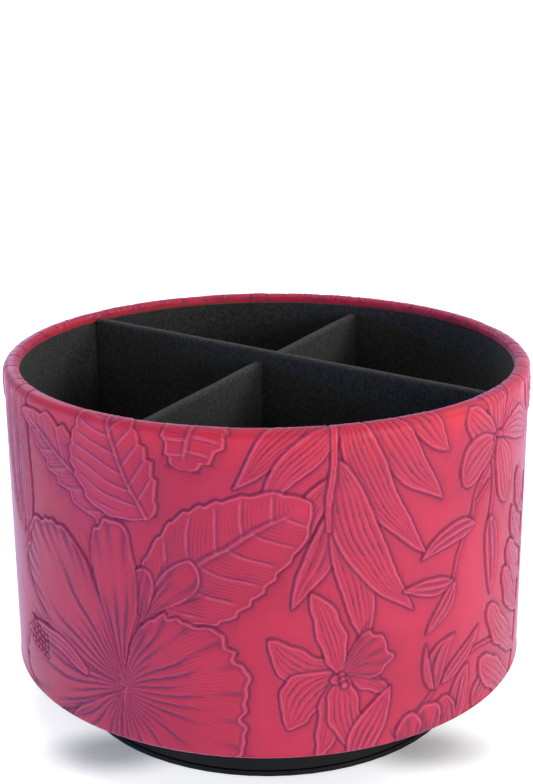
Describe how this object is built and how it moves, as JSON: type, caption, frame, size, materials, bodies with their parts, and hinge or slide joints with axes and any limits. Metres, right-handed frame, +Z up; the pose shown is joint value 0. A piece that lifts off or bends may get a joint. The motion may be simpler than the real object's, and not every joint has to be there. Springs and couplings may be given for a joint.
{
  "type": "rotating desk organizer",
  "caption": "Round desk organizer with a leather-covered wall and felt-lined compartments, turning on a ball race in a low base.",
  "frame": {"origin": "on the floor, at the centre of the footprint, on the turning axis", "axes": "+Z up along the turning axis; -Y towards the viewer, +X to the viewer's right"},
  "size_m": [0.19, 0.19, 0.132],
  "materials": {
    "black_plastic": "matte moulded black",
    "black_rubber": "matte",
    "zinc_steel": "zinc plated",
    "white_nylon": "natural nylon",
    "fibreboard": "raw fibreboard",
    "raspberry_leather": "embossed artificial leather, satin",
    "black_felt": "short flock",
    "black_backing": "black backing sheet"
  },
  "bodies": {
    "base": {"lower_plate": "black_plastic", "foot_1": "black_rubber", "foot_2": "black_rubber", "foot_3": "black_rubber", "foot_4": "black_rubber", "foot_5": "black_rubber", "foot_6": "black_rubber", "pivot_bolt": "zinc_steel", "thrust_washer": "white_nylon", "nut_washer": "zinc_steel", "lock_nut": "zinc_steel"},
    "ball_ring": {"ball_cage": "white_nylon", "ball_01": "zinc_steel", "ball_02": "zinc_steel", "ball_03": "zinc_steel", "ball_04": "zinc_steel", "ball_05": "zinc_steel", "ball_06": "zinc_steel", "ball_07": "zinc_steel", "ball_08": "zinc_steel", "ball_09": "zinc_steel", "ball_10": "zinc_steel", "ball_11": "zinc_steel", "ball_12": "zinc_steel"},
    "cup": {"turntable_drum": "black_plastic", "drum_screw_1": "zinc_steel", "drum_screw_2": "zinc_steel", "drum_screw_3": "zinc_steel", "drum_screw_4": "zinc_steel", "bottom_cover": "black_backing", "floor_board": "fibreboard", "wall_board": "fibreboard", "leather_wrap": "raspberry_leather", "wall_lining": "black_felt", "main_divider_board": "fibreboard", "main_divider_felt": "black_felt", "front_divider_board": "fibreboard", "front_divider_felt": "black_felt", "rear_divider_board": "fibreboard", "rear_divider_felt": "black_felt", "floor_pad_front_left": "black_felt", "floor_pad_front_right": "black_felt", "floor_pad_rear_left": "black_felt", "floor_pad_rear_right": "black_felt"}
  },
  "joints": [
    {"name": "turntable_spin", "type": "hinge", "parent": "base", "child": "cup", "pos_m": [0, 0, 0.0068], "axis": [0, 0, 1], "continuous": true},
    {"name": "cage_spin", "type": "hinge", "parent": "base", "child": "ball_ring", "pos_m": [0, 0, 0.0068], "axis": [0, 0, 1], "continuous": true}
  ],
  "couplings": [
    {"joint": "cage_spin", "follows": "turntable_spin", "ratio": 0.5}
  ]
}
